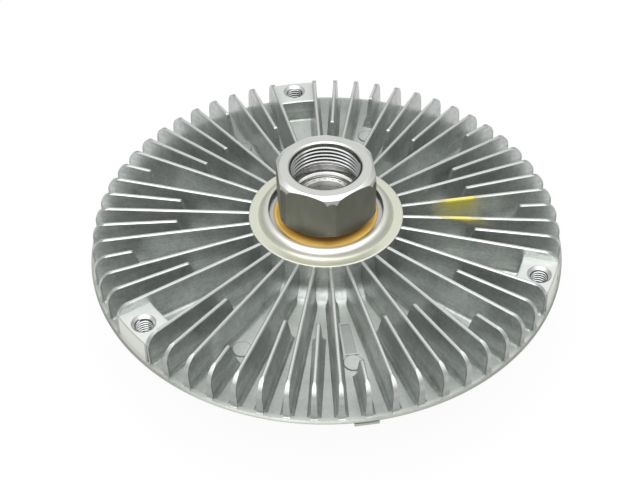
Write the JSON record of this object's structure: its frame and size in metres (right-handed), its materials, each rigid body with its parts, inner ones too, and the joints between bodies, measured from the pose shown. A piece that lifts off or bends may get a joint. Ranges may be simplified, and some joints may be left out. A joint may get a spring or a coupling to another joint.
{
  "type": "viscous fan clutch",
  "caption": "Finned disc-shaped viscous fan clutch with a threaded hexagon nut end, tapped fan lugs, a sealed bearing, a fluid-driven rotor inside and a finned front cover with a bimetal valve",
  "frame": {"origin": "on the axis of the clutch, at the tips of the cover fins that it stands on", "axes": "+Z runs along the axis towards the nut end, which is the shortest extent; the first fan lug is on +Y"},
  "size_m": [0.1628, 0.1631, 0.0651],
  "materials": {
    "cast_housing": "die-cast, satin, with bright fin tops",
    "cast_cover": "die-cast, satin",
    "rotor_aluminium": "turned",
    "rivet_aluminium": "satin",
    "shaft_steel": "turned steel with dark flats",
    "bearing_steel": "ground",
    "sheet_steel": "rolled",
    "seal_rubber": "matt orange",
    "black_rubber": "matt",
    "bimetal": "rolled",
    "bush_brass": "turned",
    "wiper_plastic": "moulded",
    "cage_plastic": "moulded"
  },
  "bodies": {
    "housing": {"finned_housing": "cast_housing", "front_cover": "cast_cover", "cover_seal_ring": "black_rubber", "separator_plate": "sheet_steel", "plate_rivets": "rivet_aluminium", "pump_wiper": "wiper_plastic", "wiper_rivets": "rivet_aluminium", "lever_rivet": "rivet_aluminium", "bearing_outer_ring": "bearing_steel", "rear_bearing_seal": "seal_rubber", "front_bearing_seal": "seal_rubber", "bimetal_strip": "bimetal", "pin_guide_bush": "bush_brass", "pin_seal": "black_rubber"},
    "shaft": {"input_shaft": "shaft_steel", "bearing_inner_ring": "bearing_steel", "drive_rotor": "rotor_aluminium"},
    "cage": {"bearing_balls": "bearing_steel", "bearing_cage": "cage_plastic"},
    "pin": {"switch_pin": "shaft_steel"},
    "lever": {"valve_lever": "sheet_steel"}
  },
  "joints": [
    {"name": "shaft_spin", "type": "hinge", "parent": "housing", "child": "shaft", "pos_m": [0, 0, 0.0387], "axis": [0, 0, 1], "continuous": true},
    {"name": "cage_spin", "type": "hinge", "parent": "housing", "child": "cage", "pos_m": [0, 0, 0.0387], "axis": [0, 0, 1], "continuous": true},
    {"name": "pin_slide", "type": "slide", "parent": "housing", "child": "pin", "axis": [0, 0, -1], "range_m": [0, 0.0012], "stiffness_N_per_m": 200, "springref_m": -0.001, "deforming": ["bimetal_strip"]},
    {"name": "lever_swing", "type": "hinge", "parent": "housing", "child": "lever", "pos_m": [-0.022, 0, 0.0172], "axis": [0, 1, 0], "range_deg": [0, 3.2]}
  ],
  "couplings": [
    {"joint": "cage_spin", "follows": "shaft_spin", "ratio": 0.38158},
    {"joint": "lever_swing", "follows": "pin_slide", "rad_per_m": 45.455}
  ]
}
